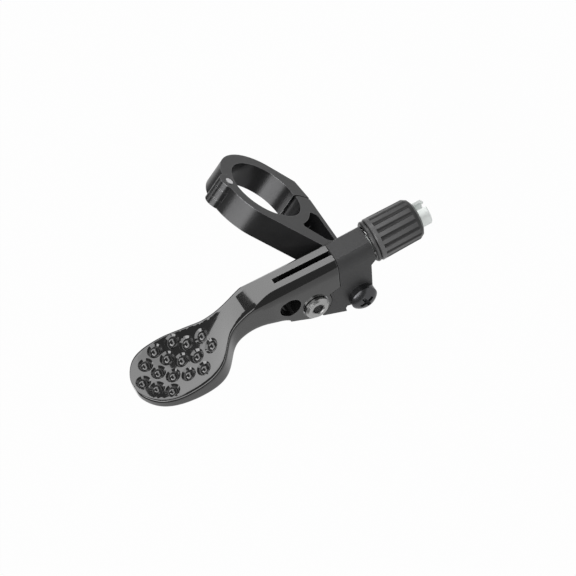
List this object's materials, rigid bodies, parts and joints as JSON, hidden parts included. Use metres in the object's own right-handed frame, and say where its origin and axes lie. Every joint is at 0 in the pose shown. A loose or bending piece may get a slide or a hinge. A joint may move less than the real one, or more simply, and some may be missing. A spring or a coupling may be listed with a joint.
{
  "type": "dropper post remote lever",
  "caption": "Thumb lever on two ball bearings with a studded paddle, a barrel adjuster and a hinged handlebar clamp, for a bicycle's dropper post.",
  "frame": {"origin": "on the handlebar's axis, in the middle of the clamp's width", "axes": "+X along the handlebar, on the adjuster's side; +Y from the lever towards the bar and its strap; +Z from the clamp's screw to its hinge"},
  "size_m": [0.0811, 0.0539, 0.0597],
  "materials": {
    "gloss_black_blade": "gloss",
    "black_housing": "satin",
    "black_bracket": "satin",
    "black_screw": "satin",
    "silver_bolt": "satin",
    "bright_pin": "polished",
    "bearing_steel": "polished",
    "cage_steel": "satin",
    "spring_steel": "satin",
    "seal_rubber": "matte",
    "silver_stem": "satin",
    "knob_plastic": "satin",
    "seat_plastic": "matte"
  },
  "bodies": {
    "clamp": {"clamp_bracket": "black_bracket", "clamp_strap": "black_bracket", "hinge_pin": "bright_pin", "clamp_screw": "black_screw", "housing_block": "black_housing", "housing_screw": "black_screw", "pivot_bolt": "silver_bolt", "spacer_sleeve": "silver_bolt", "front_inner_race": "bearing_steel", "rear_inner_race": "bearing_steel", "knob_spring": "spring_steel"},
    "lever": {"lever_blade": "gloss_black_blade", "front_outer_race": "bearing_steel", "rear_outer_race": "bearing_steel", "front_bearing_seals": "seal_rubber", "rear_bearing_seals": "seal_rubber"},
    "front_cage": {"front_ball_cage": "cage_steel", "front_bearing_balls": "bearing_steel"},
    "rear_cage": {"rear_ball_cage": "cage_steel", "rear_bearing_balls": "bearing_steel"},
    "line_seat": {"ferrule_seat": "seat_plastic"},
    "adjuster": {"barrel_stem": "silver_stem", "barrel_knob": "knob_plastic", "knob_collar": "knob_plastic"}
  },
  "joints": [
    {"name": "lever_press", "type": "hinge", "parent": "clamp", "child": "lever", "pos_m": [-0.00961, -0.0279, -0.00895], "axis": [0, -1, 0], "range_deg": [0, 32]},
    {"name": "front_cage_turn", "type": "hinge", "parent": "clamp", "child": "front_cage", "pos_m": [-0.00961, -0.0279, -0.00895], "axis": [0, -1, 0], "range_deg": [-1, 20]},
    {"name": "rear_cage_turn", "type": "hinge", "parent": "clamp", "child": "rear_cage", "pos_m": [-0.00961, -0.0279, -0.00895], "axis": [0, -1, 0], "range_deg": [-1, 20]},
    {"name": "line_seat_travel", "type": "slide", "parent": "clamp", "child": "line_seat", "axis": [0.7373, 0, -0.6756], "range_m": [0, 0.004], "deforming": ["knob_spring"]},
    {"name": "adjuster_turn", "type": "hinge", "parent": "line_seat", "child": "adjuster", "pos_m": [0.0177, -0.0279, -0.02312], "axis": [0.7373, 0, -0.6756], "range_deg": [-1, 1441]}
  ],
  "couplings": [
    {"joint": "front_cage_turn", "follows": "lever_press", "ratio": 0.5687},
    {"joint": "rear_cage_turn", "follows": "lever_press", "ratio": 0.5687},
    {"joint": "adjuster_turn", "follows": "line_seat_travel", "rad_per_m": 6283.2}
  ]
}
